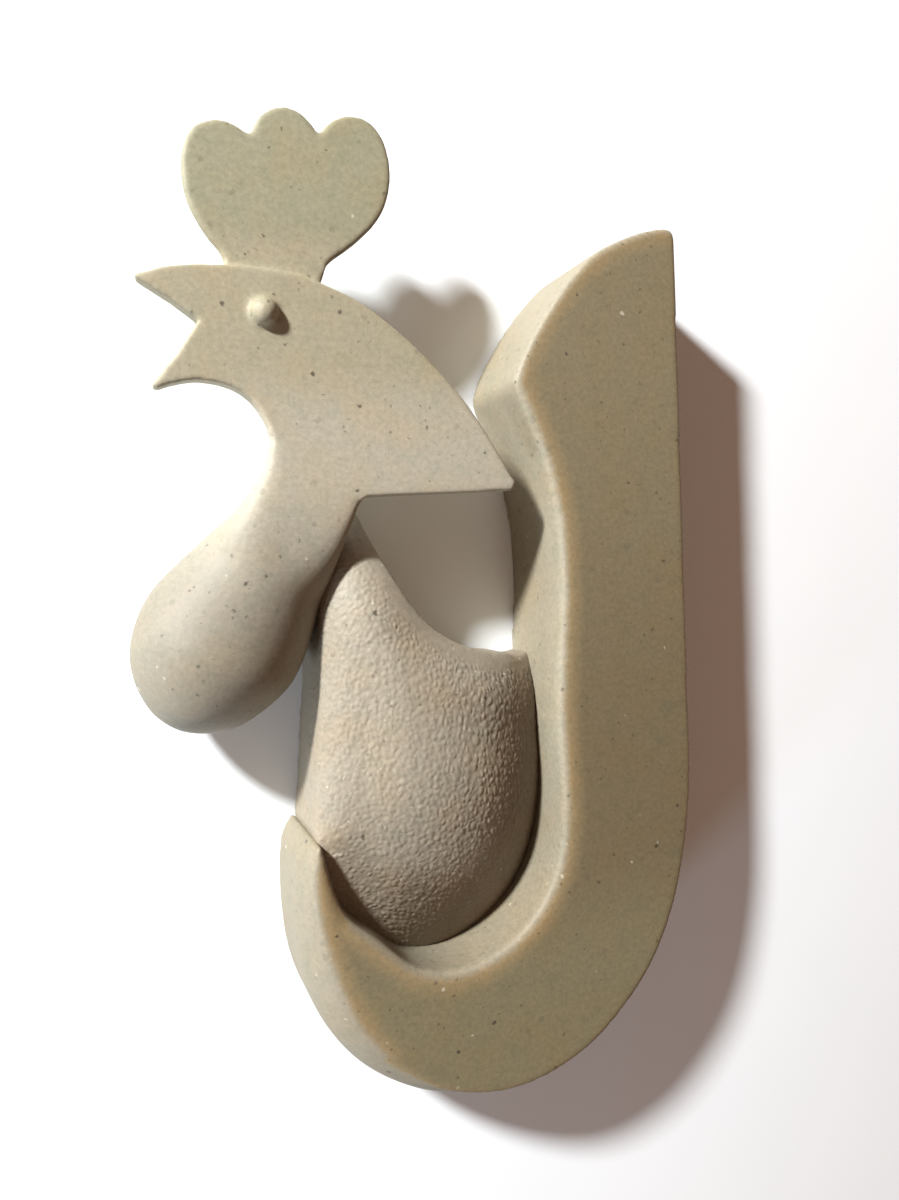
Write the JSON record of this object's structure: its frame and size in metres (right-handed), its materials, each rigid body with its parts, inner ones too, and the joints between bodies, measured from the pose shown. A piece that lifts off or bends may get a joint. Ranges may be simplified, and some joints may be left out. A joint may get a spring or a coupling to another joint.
{
  "type": "rooster figure",
  "caption": "Small flat-backed stone-resin ornament of a stylised rooster: a hook-shaped tail band holds a grained breast, a flat head and a round wattle.",
  "frame": {"origin": "under the middle of the figure, on the surface that its flat back lies on", "axes": "+Z out of the front face, +Y from the round foot towards the comb, +X towards the tail"},
  "size_m": [0.0604, 0.1008, 0.0139],
  "materials": {
    "stone_resin": "satin"
  },
  "bodies": {
    "root": {"tail_band": "stone_resin", "body": "stone_resin", "head_plate": "stone_resin", "wattle": "stone_resin", "comb": "stone_resin", "eye": "stone_resin"}
  },
  "joints": []
}
